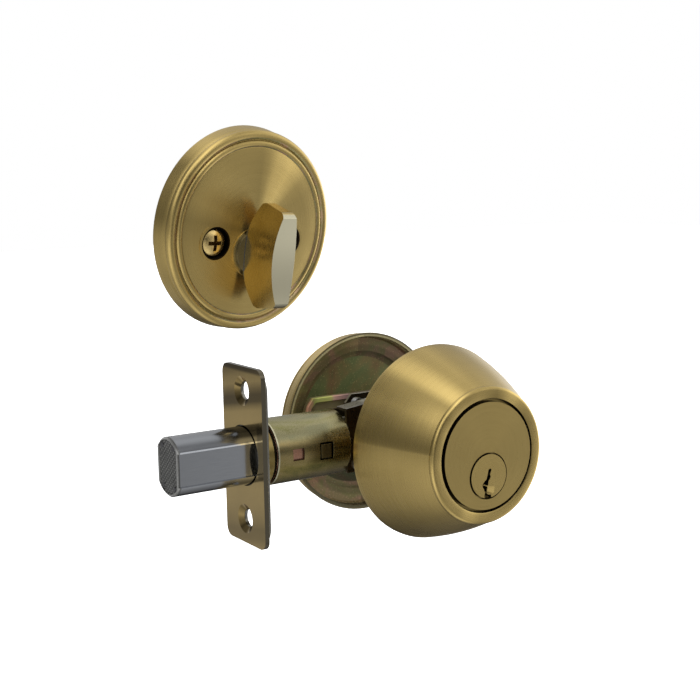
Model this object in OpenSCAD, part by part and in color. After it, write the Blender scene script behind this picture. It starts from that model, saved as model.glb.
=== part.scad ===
// Deadbolt door lock: exterior keyed collar, bolt with faceplate and cam case,
// interior rose with thumbturn.  Millimetres, +Z up.
// Origin: centre of the faceplate's seat (rear face of its backing plate), on
// the bolt's centreline.
// -X: the way the bolt is thrown.  -Y: outdoor side.  +Y: indoor side.

/* [Door preparation] */
// Faceplate front to the centre of the cross bore
backset = 60.3; // [58:0.1:63]
// Thickness of the door the lock is set up for
door_t = 41; // [40.6:0.1:42]

/* [Exterior collar] */
// Outside diameter at the door
collar_d = 64.3; // [63:0.1:65.5]
// How far the collar stands off the door
collar_h = 27.3; // [27:0.1:27.8]
// Diameter of the front opening
opening_d = 35.9; // [35.2:0.1:36.4]

/* [Cylinder] */
// How far the plug, cam and thumbturn sit below the bore centre
axis_drop = 6.35; // [6.2:0.05:6.5]
// Key plug diameter
plug_d = 12.7; // [12.6:0.05:12.75]
// Number of pin chambers
pin_n = 5; // [3:1:5]

/* [Bolt] */
// How far the thrown bolt stands out of the faceplate
throw_out = 26.2; // [25.6:0.1:27]
// Diameter of the round part of the bolt
bolt_d = 18.66; // [18.6:0.02:18.7]
// Distance across the two side channels
bolt_flats = 13.9; // [13.6:0.1:14]

/* [Faceplate] */
// Faceplate height
plate_h = 57.15; // [56.5:0.05:58]
// Faceplate width
plate_w = 25.4; // [25:0.1:26]
// Distance between the two screw holes
plate_pitch = 41.3; // [41:0.1:41.8]
// Radius of the faceplate corners
plate_r = 3.2; // [1.5:0.1:4]

/* [Bolt housing] */
// Outside diameter of the bolt tube
tube_d = 21.5; // [21.5:0.1:22]

/* [Interior trim] */
// Outside diameter of the rose
rose_d = 63.5; // [63:0.1:64.5]
// Distance of each through screw from the bore centre
screw_x = 14; // [13.8:0.1:14.2]
// Length of the thumbturn wing
wing_len = 32.4; // [31:0.1:34]
// Thickness of the thumbturn wing at its middle
wing_t = 8.7; // [8:0.1:9.2]

/* [Hidden] */
$fn = 72;

bx = backset;              // bore centre line, X from the faceplate's front
yd = door_t / 2;           // door face, Y
hz = -axis_drop;           // plug / cam / thumbturn axis, Z
sz = -3.2;                 // through screws, Z
pr = plug_d / 2;
travel = 25.4;             // bolt travel
crank_r = travel / sqrt(2);// crank pin radius for a 90 degree turn
pin_r = 1.5;               // crank pin
pin_x = bx - travel / 2;   // crank pin at rest
pin_z = hz + travel / 2;
fp_t = 1.6;                // faceplate thickness
bp_t = 0.9;                // backing plate thickness
br = bolt_d / 2;
bf = bolt_flats / 2;
bch = 5.2;                 // half height of the side channels
tr = tube_d / 2;
tw = 0.8;                  // tube wall
tube_x0 = 6.8;
tube_x1 = bx - 26.5;
case_y = 7.1;              // inner faces of the case plates
case_t = 1.0;
case_top = 13.4;
cf = -yd - collar_h;       // collar front plane, Y
ro = opening_d / 2;
rc = collar_d / 2;
rr = rose_d / 2;
pin_pitch = 3.8;
pin_y0 = -41.2;

// ---------------------------------------------------------------- helpers

// moves a part drawn from the faceplate's front face to the seat behind it
module seat() { translate([-fp_t - bp_t, 0, 0]) children(); }
// cylinder along +Y from y0 to y1
module ycyl(y0, y1, r) { translate([0, y0, 0]) rotate([-90, 0, 0]) cylinder(h = y1 - y0, r = r); }
// cylinder along +X from x0 to x1
module xcyl(x0, x1, r) { translate([x0, 0, 0]) rotate([0, 90, 0]) cylinder(h = x1 - x0, r = r); }
// outline given as (X, Z), extruded from y0 to y1
module yslab(y0, y1) { translate([0, y1, 0]) rotate([90, 0, 0]) linear_extrude(height = y1 - y0) children(); }
// outline given as (Y, Z), extruded from x0 to x1
module xslab(x0, x1) { translate([x0, 0, 0]) rotate([90, 0, 90]) linear_extrude(height = x1 - x0) children(); }
// profile given as (radius, Y), turned about the bore's centre line
module yturn() { translate([bx, 0, 0]) rotate([-90, 0, 0]) rotate_extrude() children(); }
// rounded rectangle
module rrect(w, h, r) {
  square([w - 2 * r, h], center = true);
  square([w, h - 2 * r], center = true);
  for (sx = [-1, 1], sy = [-1, 1])
    translate([sx * (w / 2 - r), sy * (h / 2 - r)]) circle(r = r);
}
// bar with round ends from the origin to (0, l)
module bar2d(l, r0, r1) {
  circle(r = r0);
  translate([0, l]) circle(r = r1);
  polygon([[-r0, 0], [-r1, l], [r1, l], [r0, 0]]);
}
// sector of a ring centred on direction a
module sector(r0, r1, a, span) {
  intersection() {
    difference() { circle(r = r1); circle(r = r0); }
    polygon([[0, 0], [2 * r1 * cos(a - span / 2), 2 * r1 * sin(a - span / 2)],
             [2.6 * r1 * cos(a), 2.6 * r1 * sin(a)],
             [2 * r1 * cos(a + span / 2), 2 * r1 * sin(a + span / 2)]]);
  }
}
// bolt cross-section as (Y, Z), grown by g
module bolt2d(g) {
  difference() {
    circle(r = br + g);
    for (s = [-1, 1])
      translate([s * (bf + g + 5), 0]) square([10, 2 * (bch - g)], center = true);
  }
}
// one coil spring standing on the XY plane
module coil(r, w, h, turns, n) {
  m = turns * n;
  pts = [for (i = [0 : m]) let (a = 360 * i / n, z = w + (h - 2 * w) * i / m)
         each [[(r - w) * cos(a), (r - w) * sin(a), z],
               [r * cos(a), r * sin(a), z - w],
               [(r + w) * cos(a), (r + w) * sin(a), z],
               [r * cos(a), r * sin(a), z + w]]];
  sides = [for (i = [0 : m - 1], k = [0 : 3])
           let (a = 4 * i + k, b = 4 * i + (k + 1) % 4)
           each [[a, a + 4, b], [b, a + 4, b + 4]]];
  caps = [[0, 1, 2], [0, 2, 3], [4 * m, 4 * m + 2, 4 * m + 1], [4 * m, 4 * m + 3, 4 * m + 2]];
  polyhedron(points = pts, faces = concat(sides, caps), convexity = 10);
}

// ---------------------------------------------------------------- outdoor side

module exterior_collar() {
  // slightly bellied cone with a rounded lip, hollow from behind
  r1 = 21.86;
  y1 = cf + 1.51;
  rm = (rc + r1) / 2 + 1.6;
  color([0.60, 0.51, 0.32]) seat()
  yturn() polygon(concat(
    [[rc, -yd]],
    [for (i = [0 : 8]) let (t = i / 8, u = 1 - t)
      [u * u * rc + 2 * u * t * rm + t * t * r1,
       u * u * (-yd - 0.9) + 2 * u * t * (y1 - yd - 0.9) / 2 + t * t * y1]],
    [for (a = [0 : -15 : -90]) [20.7 + 1.2 * cos(a), cf + 1.2 + 1.2 * sin(a)]],
    [[ro + 0.5, cf], [ro + 0.15, cf + 0.15], [ro, cf + 0.5], [ro, -yd - 24.5], [20.4, -yd - 24.5],
     [rc - 1.85, -yd - 0.7], [rc - 1.85, -yd]]));
}

module collar_ring() {
  color([0.55, 0.56, 0.55]) seat()
  yturn() polygon([[19.45, -yd - 24.5], [20.35, -yd - 24.5], [20.9, -yd - 22.2], [19.45, -yd - 22.2]]);
}

module housing_outline() {
  // barrel round the plug, block for the pins, two posts and their web
  translate([bx, hz]) circle(r = 9.6);
  translate([bx - 5.6, hz]) square([11.2, 11.3 - hz]);
  for (s = [-1, 1]) translate([bx + s * screw_x, sz]) circle(r = 4.1);
  translate([bx - screw_x, sz - 3]) square([2 * screw_x, 6]);
}

module cylinder_housing() {
  color([0.62, 0.53, 0.34]) seat()
  difference() {
    union() {
      translate([bx, 0, 0]) ycyl(cf - 0.2, -yd - 24.45, 17.05);
      translate([bx, 0, 0]) ycyl(-yd - 24.45, -yd - 22.3, 19.4);
      yslab(-yd - 22.3, -21.6) housing_outline();
      for (s = [-1, 1]) translate([bx + s * screw_x, 0, sz]) ycyl(-21.6, -8.3, 4.1);
    }
    // plug bore and the recess for the plug's front flange
    translate([bx, 0, hz]) ycyl(cf - 1, -21, pr + 0.05);
    translate([bx, 0, hz]) ycyl(cf - 1, cf + 1.6, 7.45);
    // pin chambers
    for (i = [0 : pin_n - 1])
      translate([bx, pin_y0 + i * pin_pitch, hz + 3]) cylinder(h = 20, r = 1.45);
    // threaded posts
    for (s = [-1, 1]) translate([bx + s * screw_x, 0, sz]) ycyl(-32, -8, 2.1);
  }
}

module keyway2d() {
  // warded key slot as (X, Z), measured from the plug's centre
  polygon([[-0.15, 2.1], [0.5, 2.4], [1.05, 2.0], [0.45, 0.5], [0.75, -0.3], [0.3, -1.0],
           [-0.2, -1.6], [-0.3, -2.6], [-0.5, -3.2], [-0.9, -4.4], [-0.9, -5.4], [-0.2, -5.9],
           [0.8, -6.0], [0.9, -7.6], [-1.5, -7.6], [-1.9, -6.2], [-1.6, -5.2], [-2.0, -4.0],
           [-2.5, -3.2], [-2.6, -2.4], [-1.9, -1.6], [-1.0, -0.9], [-0.6, 0.3]]);
}

module key_plug() {
  color([0.66, 0.57, 0.38]) seat()
  difference() {
    translate([bx, 0, hz]) union() {
      ycyl(cf + 1.55, -21.5, pr);
      ycyl(cf - 0.45, cf + 1.55, 6.95);
      ycyl(-21.5, -20.0, 5.6);
      yslab(-20.0, -18.35) sector(1.9, 4.7, -90, 88);
    }
    translate([bx, 0, hz]) yslab(cf - 1, -22.6) keyway2d();
    // sloping lead-in beside the key slot
    translate([bx + 0.75, cf - 0.45, hz - 4.45]) rotate([0, 12, 0]) translate([0, 0, -1.15])
      linear_extrude(height = 2.3) polygon([[-1.5, -1], [1.35, -1], [1.35, 0], [-1.5, 2.1]]);
    for (i = [0 : pin_n - 1])
      translate([bx, pin_y0 + i * pin_pitch, hz + 0.4]) cylinder(h = 8, r = 1.45);
  }
}

module plug_cap() {
  color([0.68, 0.60, 0.42]) seat()
  translate([bx, 0, hz]) difference() {
    ycyl(-21.5, -16.2, 7.2);
    ycyl(-21.6, -16.9, 5.6);
    ycyl(-17, -16, 3.6);
  }
}

module bottom_pins() {
  color([0.72, 0.62, 0.36]) seat()
  for (i = [0 : pin_n - 1])
    translate([bx, pin_y0 + i * pin_pitch, hz + 0.6 + 0.25 * (i % 3)]) {
      cylinder(h = 0.6, r1 = 0.6, r2 = 1.4);
      translate([0, 0, 0.6]) cylinder(h = 4.95 - 0.25 * (i % 3), r = 1.4);
    }
}

module driver_pins() {
  color([0.66, 0.66, 0.62]) seat()
  for (i = [0 : pin_n - 1])
    translate([bx, pin_y0 + i * pin_pitch, hz + 6.5]) cylinder(h = 4.2, r = 1.4);
}

module pin_springs() {
  color([0.70, 0.70, 0.70]) seat()
  for (i = [0 : pin_n - 1])
    translate([bx, pin_y0 + i * pin_pitch, hz + 10.72]) coil(1.05, 0.16, 11.26 - hz - 10.74, 5, 10);
}

module chamber_cover() {
  color([0.60, 0.53, 0.36]) seat()
  translate([bx - 3.2, -yd - 22.2, 11.3]) cube([6.4, yd + 0.2, 0.7]);
}

module tailpiece() {
  color([0.62, 0.63, 0.62]) seat()
  translate([bx, 0, hz]) {
    translate([-1.15, -17.0, -3.15]) cube([2.3, 44.2, 6.3]);
    ycyl(-18.2, -17.0, 5.0);
    yslab(-19.85, -18.2) sector(1.9, 4.7, 90, 88);
  }
}

// ---------------------------------------------------------------- door edge

module faceplate() {
  color([0.55, 0.46, 0.28]) seat()
  difference() {
    xslab(0, fp_t) rrect(plate_w, plate_h, plate_r);
    xcyl(-1, fp_t + 1, 9.75);
    for (s = [-1, 1]) translate([0, 0, s * plate_pitch / 2]) {
      xcyl(-1, fp_t + 1, 2.9);
      translate([-0.01, 0, 0]) rotate([0, 90, 0]) cylinder(h = 1.3, r1 = 4.75, r2 = 2.9);
    }
  }
}

module backing_plate() {
  color([0.58, 0.56, 0.47]) seat()
  difference() {
    xslab(fp_t, fp_t + bp_t) rrect(plate_w - 0.8, plate_h - 1.6, 6.35);
    xslab(fp_t - 1, fp_t + bp_t + 1) bolt2d(0.07);
    for (s = [-1, 1]) translate([0, 0, s * plate_pitch / 2]) xcyl(0, fp_t + bp_t + 1, 2.9);
  }
}

module front_ring() {
  color([0.72, 0.58, 0.28]) seat()
  difference() { xcyl(fp_t + bp_t, tube_x0 - 1.45, tr); xcyl(0, 6, tr - tw); }
}

module inner_sleeve() {
  color([0.66, 0.45, 0.38]) seat()
  // necked where it bridges the groove between the ring and the tube
  difference() {
    union() {
      xcyl(fp_t + bp_t, tube_x0 - 1.45, tr - tw);
      xcyl(tube_x0 - 1.45, tube_x0 + 0.2, tr - tw - 0.25);
      xcyl(tube_x0 + 0.2, 20.5, tr - tw);
    }
    xcyl(0, 22, br + 0.07);
  }
}

module bolt_tube() {
  color([0.62, 0.61, 0.47]) seat()
  difference() {
    xcyl(tube_x0, tube_x1, tr);
    xcyl(tube_x0 - 1, tube_x1 + 1, tr - tw);
    // windows in both sides of the tube
    translate([12.1, -tr - 1, -1.8]) cube([4.1, 2 * tr + 2, 3.8]);
    translate([22.1, -tr - 1, -2.9]) cube([5.0, 2 * tr + 2, 5.6]);
  }
}

module bolt_bar() {
  color([0.56, 0.57, 0.58]) seat()
  difference() {
    intersection() {
      xslab(-throw_out, 7.8) bolt2d(0);
      rotate([0, 90, 0]) rotate_extrude()
        polygon([[0, -throw_out], [br - 0.5, -throw_out], [br, -throw_out + 0.5], [br, 7.8], [0, 7.8]]);
    }
    // slot and cross hole for the tail
    translate([3.3, -1.1, -12]) cube([6, 2.2, 24]);
    translate([5.4, 0, 0]) ycyl(-10, 10, 1.5);
    // holes for the hardened pins
    for (sy = [-1, 1], sp = [-1, 1]) translate([0, sy * 3.9, sp * 6.3]) xcyl(-throw_out - 1, -throw_out + 22, 0.85);
  }
}

module hardened_pins() {
  color([0.30, 0.30, 0.31]) seat()
  for (sy = [-1, 1], sp = [-1, 1])
    translate([0, sy * 3.9, sp * 6.3]) xcyl(-throw_out + 0.15, -throw_out + 22, 0.85);
}

module bolt_tail() {
  color([0.60, 0.60, 0.56]) seat()
  yslab(-1.1, 1.1) difference() {
    union() {
      translate([3.3, -4]) square([14, 11.5]);
      translate([17, 0.6]) square([pin_x - 4.5 - 17, 6.9]);
      translate([pin_x - 6, 0.6]) square([10.5, 10.6]);
      translate([pin_x - 3.9, 11.4]) circle(r = 2.1);
      translate([pin_x + 3.3, 11.2]) circle(r = 1.2);
    }
    translate([pin_x, pin_z]) circle(r = pin_r + 0.6);
    translate([pin_x - pin_r - 0.6, pin_z]) square([2 * pin_r + 1.2, 10]);
    translate([5.4, 0]) circle(r = 1.5);
  }
}

module tail_rivet() {
  color([0.50, 0.50, 0.50]) seat()
  translate([5.4, 0, 0]) ycyl(-bf + 0.05, bf - 0.05, 1.5);
}

// ---------------------------------------------------------------- cam case

// side plate outline, top = upper edge points from the right to the tube
module case2d(top) {
  difference() {
    union() {
      translate([22.6, -4.9]) square([tube_x1 - 22.6, 9.8]);
      polygon(concat([[tube_x1, -9.4], [bx + 19, -9.4], [bx + 19, case_top]], top));
      translate([bx + 10, -6.4]) square([12, case_top + 3.4]);
      for (z = [-6.4, case_top - 3]) translate([bx + 19, z]) circle(r = 3);
      translate([bx, hz]) circle(r = 7.2);
    }
    translate([bx, hz]) circle(r = 4.65);
    for (s = [-1, 1]) translate([bx + s * screw_x, sz]) circle(r = 2.6);
    rivets2d(1.3);
  }
}
module rivets2d(r) {
  for (p = [[bx - 22.5, -6.8], [bx + 19.7, 9], [bx + 19.7, -6]]) translate(p) circle(r = r);
}
// lug that snaps into the tube's window, s = side
module case_lug(s) { translate([22.7, s > 0 ? case_y + case_t : -tr + 0.35, -2.4]) cube([3.8, tr - 0.35 - case_y - case_t, 4.5]); }

module case_exterior() {
  color([0.30, 0.29, 0.25]) seat()
  union() {
    yslab(-case_y - case_t, -case_y)
      case2d([[tube_x1 + 11.7, case_top], [tube_x1 + 8.2, case_top - 0.4], [tube_x1, case_top - 1.4]]);
    case_lug(-1);
    // edge folded over the top of the case
    yslab(-case_y - 0.1, -2.2) polygon([[tube_x1, case_top - 1.4], [tube_x1 + 8.2, case_top - 0.4],
      [tube_x1 + 11.7, case_top], [tube_x1 + 12.2, case_top], [tube_x1 + 12.2, case_top - 0.8],
      [tube_x1 + 11.7, case_top - 0.8], [tube_x1 + 8.2, case_top - 1.2], [tube_x1, case_top - 2.2]]);
  }
}
module case_interior() {
  color([0.32, 0.31, 0.26]) seat()
  union() {
    yslab(case_y, case_y + case_t)
      case2d([[tube_x1 + 12, case_top], [tube_x1 + 8.5, 9.2], [tube_x1, 9.2]]);
    case_lug(1);
  }
}
module case_rivets() {
  color([0.70, 0.69, 0.62]) seat()
  union() {
    yslab(-case_y - case_t, case_y + case_t) rivets2d(1.3);
    yslab(-case_y, case_y) rivets2d(1.3);
    yslab(-case_y - case_t - 0.6, -case_y - case_t) rivets2d(2.0);
    yslab(case_y + case_t, case_y + case_t + 0.6) rivets2d(2.0);
  }
}

module cam_crank() {
  color([0.58, 0.55, 0.42]) seat()
  difference() {
    union() {
      translate([bx, 0, hz]) ycyl(-case_y - case_t, case_y + case_t, 4.6);
      for (s = [-1, 1]) yslab(s * 3.4 - 1, s * 3.4 + 1)
        translate([bx, hz]) rotate(45) bar2d(crank_r, 6.0, 3.0);
      translate([pin_x, 0, pin_z]) ycyl(-4.4, 4.4, pin_r);
    }
    translate([bx - 1.25, -20, hz - 3.25]) cube([2.5, 40, 6.5]);
  }
}

// ---------------------------------------------------------------- indoor side

module interior_rose() {
  color([0.58, 0.50, 0.31]) seat()
  difference() {
    union() {
      yturn() union() {
        polygon([[rr, yd], [rr, yd + 0.6], [rr - 0.75, yd + 5.0], [rr - 1.2, yd + 5.6],
                 [rr - 3.75, yd + 6.3], [25.2, yd + 6.9], [0, yd + 8.2],
                 [0, yd + 6.9], [22.0, yd + 5.7], [rr - 6.6, yd + 5.2], [rr - 6.9, yd + 3.9],
                 [rr - 2.2, yd + 3.5], [rr - 1.3, yd + 2.2], [rr - 1.3, yd]]);
        translate([rr - 2.25, yd + 5.55]) circle(r = 1.55);
        translate([rr - 4.85, yd + 6.05]) circle(r = 1.15);
      }
      // bearing for the thumbturn's spindle
      translate([bx, 0, hz]) ycyl(yd + 4.5, yd + 8.2, 7.7);
      // seats for the two screws, standing on the mounting plate
      for (s = [-1, 1]) translate([bx + s * screw_x, 0, sz]) ycyl(yd + 0.4, yd + 7.4, 5.9);
    }
    translate([bx, 0, hz]) ycyl(yd + 4, yd + 9, 6.05);
    for (s = [-1, 1]) translate([bx + s * screw_x, 0, sz]) {
      ycyl(yd + 5.2, yd + 9, 4.75);
      ycyl(yd, yd + 6, 2.4);
    }
  }
}

// plate outline with clipped corners, drawn in by g
module plate2d(g) {
  intersection() {
    circle(r = 26.4 - g);
    polygon([for (p = [[23.0, 11.2], [25.9, 7.3], [25.9, -7.3], [23.0, -11.2],
                       [-23.0, -11.2], [-25.9, -7.3], [-25.9, 7.3], [-23.0, 11.2]])
             [p[0] - sign(p[0]) * 0.8 * g, p[1] - sign(p[1]) * (abs(p[1]) > 8 ? g : 0.45 * g)]]);
  }
}
module mounting_plate() {
  color([0.62, 0.62, 0.42]) seat()
  difference() {
    union() {
      yslab(yd - 1.2, yd + 0.4) translate([bx, 0]) plate2d(0);
      // raised edge
      yslab(yd - 2.4, yd - 1.2) translate([bx, 0]) difference() { plate2d(0); plate2d(1.6); }
    }
    translate([bx, 0, hz]) ycyl(yd - 3, yd + 1, 8.4);
    for (s = [-1, 1]) translate([bx + s * screw_x, 0, sz]) ycyl(yd - 3, yd + 1, 2.4);
  }
}

module wing_side2d() {
  // side view as (Y, Z), measured from the door face and the turn's axis
  k = wing_len / 2 - 16.2;
  difference() {
    intersection() {
      union() {
        for (s = [-1, 1]) {
          translate([14.4, s * (12.2 + k)]) circle(r = 4);
          translate([21.3, s * (11.8 + k)]) circle(r = 3);
          polygon([[14.4, s * (12.2 + k)], [15.2, s * (16.12 + k)], [21.9, s * (14.74 + k)], [21.3, s * (11.8 + k)], [18, 0]]);
        }
        translate([7.5, -12.2 - k]) square([13.8, 24.4 + 2 * k]);
        translate([12, -11.8 - k]) square([12.3, 23.6 + 2 * k]);
      }
      translate([8.3 + 30.9, 0]) circle(r = 30.9);
    }
    translate([22.9 + 73, 0]) circle(r = 73);
  }
}

module thumbturn() {
  color([0.64, 0.57, 0.40]) seat()
  translate([bx, 0, hz]) difference() {
    union() {
      intersection() {
        translate([0, yd, 0]) xslab(-10, 10) wing_side2d();
        yslab(yd, yd + 30) intersection() {
          translate([48.8 - wing_t / 2, 0]) circle(r = 48.8);
          translate([wing_t / 2 - 48.8, 0]) circle(r = 48.8);
        }
      }
      ycyl(yd + 8.25, yd + 9.4, 6.9);
    }
    ycyl(yd + 8, yd + 9.0, 4.0);
  }
}

module thumb_spindle() {
  color([0.60, 0.58, 0.50]) seat()
  translate([bx, 0, hz]) difference() {
    union() {
      ycyl(yd + 2.2, yd + 3.0, 6.0);
      ycyl(yd + 3.0, yd + 3.9, 5.3);
      ycyl(yd + 3.9, yd + 8.25, 6.0);
      ycyl(yd + 8.25, yd + 9.0, 4.0);
    }
    translate([-1.2, yd + 2, -3.2]) cube([2.4, 5.0, 6.4]);
  }
}

module spring_washer() {
  color([0.58, 0.58, 0.56]) seat()
  translate([bx, 0, hz]) difference() { ycyl(yd + 3.95, yd + 4.5, 7.6); ycyl(yd, yd + 6, 6.1); }
}

module retaining_ring() {
  color([0.38, 0.38, 0.38]) seat()
  translate([bx, 0, hz]) yslab(yd + 3.05, yd + 3.85) difference() {
    circle(r = 7.5);
    circle(r = 5.3);
    translate([-2.2, -12]) square([4.4, 12]);
  }
}

module mounting_screws() {
  color([0.72, 0.62, 0.36]) seat()
  for (s = [-1, 1]) translate([bx + s * screw_x, 0, sz]) difference() {
    union() {
      ycyl(-30, yd + 5.2, 2.08);
      ycyl(yd + 5.2, yd + 6.3, 4.0);
      intersection() {
        ycyl(yd + 6.3, yd + 8, 4.0);
        translate([0, yd - 0.95, 0]) rotate([-90, 0, 0]) rotate_extrude() intersection() {
          circle(r = 8.3);
          square([9, 9]);
        }
      }
    }
    // cross recess
    translate([-0.6, yd + 5.7, -2.4]) cube([1.2, 3, 4.8]);
    translate([-2.4, yd + 5.7, -0.6]) cube([4.8, 3, 1.2]);
  }
}

// ---------------------------------------------------------------- parts

exterior_collar();
collar_ring();
cylinder_housing();
key_plug();
plug_cap();
bottom_pins();
driver_pins();
pin_springs();
chamber_cover();
tailpiece();
faceplate();
backing_plate();
front_ring();
inner_sleeve();
bolt_tube();
bolt_bar();
hardened_pins();
bolt_tail();
tail_rivet();
case_exterior();
case_interior();
case_rivets();
cam_crank();
interior_rose();
mounting_plate();
thumbturn();
thumb_spindle();
spring_washer();
retaining_ring();
mounting_screws();
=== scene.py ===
import math

import bmesh
import bpy
import numpy as np
from mathutils import Matrix, Vector


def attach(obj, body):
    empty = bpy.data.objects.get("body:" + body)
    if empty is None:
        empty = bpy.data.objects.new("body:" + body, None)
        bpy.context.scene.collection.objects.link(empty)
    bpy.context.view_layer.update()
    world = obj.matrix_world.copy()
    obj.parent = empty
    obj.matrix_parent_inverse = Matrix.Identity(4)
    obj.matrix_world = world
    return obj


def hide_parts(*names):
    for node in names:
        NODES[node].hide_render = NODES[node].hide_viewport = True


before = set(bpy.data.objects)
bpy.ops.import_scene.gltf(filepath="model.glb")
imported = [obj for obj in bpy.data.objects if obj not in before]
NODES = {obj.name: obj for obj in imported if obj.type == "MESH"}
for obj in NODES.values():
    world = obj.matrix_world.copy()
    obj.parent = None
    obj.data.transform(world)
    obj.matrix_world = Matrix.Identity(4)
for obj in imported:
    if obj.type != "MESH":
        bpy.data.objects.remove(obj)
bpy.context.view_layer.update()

# ------------------------------------------------------------ dimensions (metres, row frame)
SEAT = -0.0025            # the faceplate's front face
BX = 0.0603 + SEAT        # bore centre line, X
HZ = -0.00635             # plug, cam and thumbturn axis, Z
SZ = -0.0032              # through screws, Z
SX = 0.014
YD = 0.0205               # door faces at y = -YD and +YD
CF = -YD - 0.0273         # collar's front plane

scene = bpy.context.scene
scene.view_settings.view_transform = "Standard"
scene.view_settings.look = "None"
scene.render.film_transparent = False


# ------------------------------------------------------------ node helpers
class Mat:
    """A material being built from nodes."""

    def __init__(self, name, **sockets):
        self.m = bpy.data.materials.new(name)
        self.m.use_nodes = True
        self.t = self.m.node_tree
        self.t.nodes.clear()
        out = self.t.nodes.new("ShaderNodeOutputMaterial")
        self.b = self.t.nodes.new("ShaderNodeBsdfPrincipled")
        self.t.links.new(self.b.outputs[0], out.inputs[0])
        for k, v in sockets.items():
            self.b.inputs[k.replace("_", " ")].default_value = v
        tc = self.t.nodes.new("ShaderNodeTexCoord")
        self.P = tc.outputs["Object"]
        self.N = tc.outputs["Normal"]

    def put(self, socket, value):
        if hasattr(value, "is_output") or isinstance(value, bpy.types.NodeSocket):
            self.t.links.new(value, socket)
        else:
            socket.default_value = value

    def math(self, op, a, b=0.0, c=0.0, clamp=False):
        n = self.t.nodes.new("ShaderNodeMath")
        n.operation = op
        n.use_clamp = clamp
        self.put(n.inputs[0], a)
        self.put(n.inputs[1], b)
        self.put(n.inputs[2], c)
        return n.outputs[0]

    def vmath(self, op, a, b=(0, 0, 0), scale=1.0):
        n = self.t.nodes.new("ShaderNodeVectorMath")
        n.operation = op
        self.put(n.inputs[0], a)
        self.put(n.inputs[1], b)
        if op == "SCALE":
            self.put(n.inputs["Scale"], scale)
        return n.outputs["Value"] if op in ("LENGTH", "DOT_PRODUCT", "DISTANCE") else n.outputs[0]

    def sep(self, v):
        n = self.t.nodes.new("ShaderNodeSeparateXYZ")
        self.put(n.inputs[0], v)
        return n.outputs[0], n.outputs[1], n.outputs[2]

    def comb(self, x, y, z):
        n = self.t.nodes.new("ShaderNodeCombineXYZ")
        for i, v in enumerate((x, y, z)):
            self.put(n.inputs[i], v)
        return n.outputs[0]

    def noise(self, vec, scale=1.0, detail=2.0, rough=0.5, distort=0.0, color=False):
        n = self.t.nodes.new("ShaderNodeTexNoise")
        self.put(n.inputs["Vector"], vec)
        self.put(n.inputs["Scale"], scale)
        self.put(n.inputs["Detail"], detail)
        self.put(n.inputs["Roughness"], rough)
        self.put(n.inputs["Distortion"], distort)
        return n.outputs["Color"] if color else n.outputs[0]

    def ramp(self, fac, stops, mode="LINEAR"):
        n = self.t.nodes.new("ShaderNodeValToRGB")
        n.color_ramp.interpolation = mode
        e = n.color_ramp.elements
        while len(e) < len(stops):
            e.new(0.5)
        for i, (p, c) in enumerate(stops):
            e[i].position = p
            e[i].color = (*c, 1) if len(c) == 3 else c
        self.put(n.inputs[0], fac)
        return n.outputs[0]

    def remap(self, v, a, b, c, d, smooth=False):
        n = self.t.nodes.new("ShaderNodeMapRange")
        n.interpolation_type = "SMOOTHSTEP" if smooth else "LINEAR"
        n.clamp = True
        self.put(n.inputs[0], v)
        for i, x in enumerate((a, b, c, d)):
            self.put(n.inputs[1 + i], x)
        return n.outputs[0]

    def mix(self, fac, a, b, blend="MIX"):
        n = self.t.nodes.new("ShaderNodeMix")
        n.data_type = "RGBA"
        n.blend_type = blend
        self.put(n.inputs[0], fac)
        for socket, v in ((n.inputs[6], a), (n.inputs[7], b)):
            if isinstance(v, (int, float)):
                v = (v, v, v)
            self.put(socket, (*v, 1) if isinstance(v, tuple) and len(v) == 3 else v)
        return n.outputs[2]

    def bump(self, height, strength=0.2, dist=0.0001, normal=None):
        n = self.t.nodes.new("ShaderNodeBump")
        n.inputs["Strength"].default_value = strength
        n.inputs["Distance"].default_value = dist
        self.put(n.inputs["Height"], height)
        if normal is not None:
            self.put(n.inputs["Normal"], normal)
        return n.outputs[0]

    def world_dir(self, v):
        n = self.t.nodes.new("ShaderNodeVectorTransform")
        n.vector_type = "VECTOR"
        n.convert_from = "OBJECT"
        n.convert_to = "WORLD"
        self.put(n.inputs[0], v)
        return n.outputs[0]

    def within(self, v, lo, hi, soft):
        """1 where lo < v < hi, falling to 0 over soft."""
        up = self.remap(v, lo - soft, lo + soft, 0.0, 1.0)
        down = self.remap(v, hi - soft, hi + soft, 1.0, 0.0)
        return self.math("MULTIPLY", up, down)

    def base(self):
        return self.b.inputs["Base Color"].links[0].from_socket

    def paint(self, mask, color):
        """Lays a colour over the base where mask is 1."""
        self.set(Base_Color=self.mix(mask, self.base(), color))
        return self

    def tone(self, v, stops):
        """A brightness that follows v: stops are (value of v, brightness)."""
        a, b = stops[0][0], stops[-1][0]
        peak = max(t for _, t in stops)
        fac = self.remap(v, a, b, 0.0, 1.0)
        return self.math("MULTIPLY", self.ramp(fac, [((q - a) / (b - a), (t / peak, t / peak, t / peak)) for q, t in stops]), peak)

    def shade(self, factor):
        """Multiplies the base colour by factor."""
        self.set(Base_Color=self.vmath("SCALE", self.base(), scale=factor))
        return self

    def set(self, **links):
        for k, v in links.items():
            self.put(self.b.inputs[k.replace("_", " ")], v)
        return self


def lathe(m, cx, cz):
    """Radius, height and angle round an axis along Y through (cx, cz), in millimetres and radians."""
    x, y, z = m.sep(m.P)
    dx = m.math("MULTIPLY", m.math("SUBTRACT", x, cx), 1000)
    dz = m.math("MULTIPLY", m.math("SUBTRACT", z, cz), 1000)
    r = m.math("POWER", m.math("ADD", m.math("MULTIPLY", dx, dx), m.math("MULTIPLY", dz, dz)), 0.5)
    th = m.math("ARCTAN2", dz, dx)
    ymm = m.math("MULTIPLY", y, 1000)
    return dx, dz, r, ymm, th


def mm(m):
    return m.vmath("SCALE", m.P, scale=1000.0)


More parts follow.
